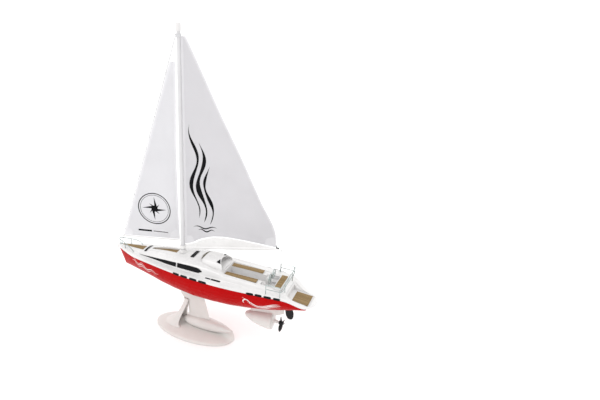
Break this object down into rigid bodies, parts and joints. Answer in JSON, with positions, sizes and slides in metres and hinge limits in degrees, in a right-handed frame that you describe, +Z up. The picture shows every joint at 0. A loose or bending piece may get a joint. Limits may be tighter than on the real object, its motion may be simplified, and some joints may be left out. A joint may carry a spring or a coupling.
{
  "type": "model sailing yacht",
  "caption": "Radio-controlled model sailing yacht with mainsail, jib, bulb keel, powered pod, rudder and chrome rails, on a moulded display stand.",
  "frame": {"origin": "middle of the stand's flat underside, where it rests on the table", "axes": "+X to the bow, +Y to port, +Z up"},
  "size_m": [0.487, 0.1218, 0.685],
  "materials": {
    "red_hull": "gloss moulded",
    "white_moulding": "gloss moulded",
    "stand_moulding": "satin moulded",
    "black_glazing": "gloss",
    "black_plastic": "satin",
    "white_plastic": "gloss",
    "deck_pad": "printed planking",
    "chrome_plate": "vacuum plated",
    "sailcloth": "crisp woven polyester",
    "line": "braided",
    "steel": "plain",
    "iron": "cast",
    "circuit_board": "solder mask",
    "battery_skin": "shrink sleeve"
  },
  "bodies": {
    "stand": {"stand_base": "stand_moulding", "stand_upright": "stand_moulding"},
    "boat": {"hull_shell": "red_hull", "deck_moulding": "white_moulding", "cockpit_well": "white_moulding", "stern_platform": "white_moulding", "sprayhood": "white_moulding", "window_port_front": "black_glazing", "window_port_rear": "black_glazing", "window_starboard_front": "black_glazing", "window_starboard_rear": "black_glazing", "fore_hatch_glass": "black_glazing", "roof_hatch_glass": "black_glazing", "foredeck_pad": "deck_pad", "roof_pad": "deck_pad", "seat_pad_port": "deck_pad", "seat_pad_starboard": "deck_pad", "helm_seat_pad": "deck_pad", "platform_pad": "deck_pad", "bow_pulpit": "chrome_plate", "stern_pushpit": "chrome_plate", "helm_pedestal": "white_moulding", "keel_fin": "stand_moulding", "keel_bulb": "stand_moulding", "ballast_slug": "iron", "bulb_tail_plug": "stand_moulding", "motor_pod": "stand_moulding", "pod_end_cap": "stand_moulding", "drive_motor": "steel", "rudder_bush": "black_plastic", "steering_servo": "black_plastic", "battery_tray": "black_plastic", "battery_cell_1": "battery_skin", "battery_cell_2": "battery_skin", "battery_cell_3": "battery_skin", "battery_cell_4": "battery_skin", "receiver_board": "circuit_board", "mast": "white_moulding", "mast_step": "white_moulding", "masthead_cap": "white_moulding", "stay_crane": "chrome_plate", "bow_eye": "chrome_plate", "forestay": "line", "sheet_eye": "chrome_plate", "mainsheet": "line"},
    "mainsail_and_boom": {"boom": "white_moulding", "clew_hook": "black_plastic", "mainsail": "sailcloth"},
    "jib_and_club": {"jib": "sailcloth", "jib_boom": "white_plastic"},
    "screw": {"propeller": "black_plastic", "propeller_shaft": "steel"},
    "steering_blade": {"rudder": "black_plastic", "tiller_arm": "black_plastic"},
    "horn": {"servo_horn": "white_plastic"},
    "pushrod": {"steering_pushrod": "steel"},
    "wheel_port": {"helm_wheel_port": "chrome_plate"},
    "wheel_starboard": {"helm_wheel_starboard": "chrome_plate"},
    "hatch": {"cockpit_hatch": "white_moulding"},
    "switch": {"switch_knob": "white_plastic"}
  },
  "joints": [
    {"name": "boat_lift", "type": "slide", "parent": "stand", "child": "boat", "axis": [-0.6, 0, 0.8], "range_m": [0, 0.12]},
    {"name": "boom_swing", "type": "hinge", "parent": "boat", "child": "mainsail_and_boom", "pos_m": [0.0273, 0, 0.206], "axis": [0, 0, 1], "range_deg": [-59, 31]},
    {"name": "jib_swing", "type": "hinge", "parent": "boat", "child": "jib_and_club", "pos_m": [0.1945, 0, 0.1825], "axis": [-0.318, 0, 0.9481], "range_deg": [-50, 26]},
    {"name": "propeller_spin", "type": "hinge", "parent": "boat", "child": "screw", "pos_m": [-0.209, 0, 0.0855], "axis": [1, 0, 0], "continuous": true},
    {"name": "rudder_turn", "type": "hinge", "parent": "boat", "child": "steering_blade", "pos_m": [-0.219, 0, 0.158], "axis": [0, 0, 1], "range_deg": [-25, 25]},
    {"name": "servo_turn", "type": "hinge", "parent": "boat", "child": "horn", "pos_m": [-0.176, 0, 0.1545], "axis": [0, 0, 1], "range_deg": [-25, 25]},
    {"name": "pushrod_slide", "type": "slide", "parent": "boat", "child": "pushrod", "axis": [1, 0, 0], "range_m": [-0.004, 0.004]},
    {"name": "helm_port_spin", "type": "hinge", "parent": "boat", "child": "wheel_port", "pos_m": [-0.1824, 0.0116, 0.1924], "axis": [1, 0, 0], "continuous": true},
    {"name": "helm_starboard_spin", "type": "hinge", "parent": "boat", "child": "wheel_starboard", "pos_m": [-0.1824, -0.0116, 0.1924], "axis": [1, 0, 0], "continuous": true},
    {"name": "hatch_lift", "type": "slide", "parent": "boat", "child": "hatch", "axis": [0, 0, 1], "range_m": [0, 0.03]},
    {"name": "switch_slide", "type": "slide", "parent": "boat", "child": "switch", "axis": [0, 1, 0], "range_m": [0, 0.0055]}
  ],
  "couplings": [
    {"joint": "servo_turn", "follows": "rudder_turn", "ratio": 1},
    {"joint": "pushrod_slide", "follows": "rudder_turn", "m_per_rad": -0.009}
  ]
}
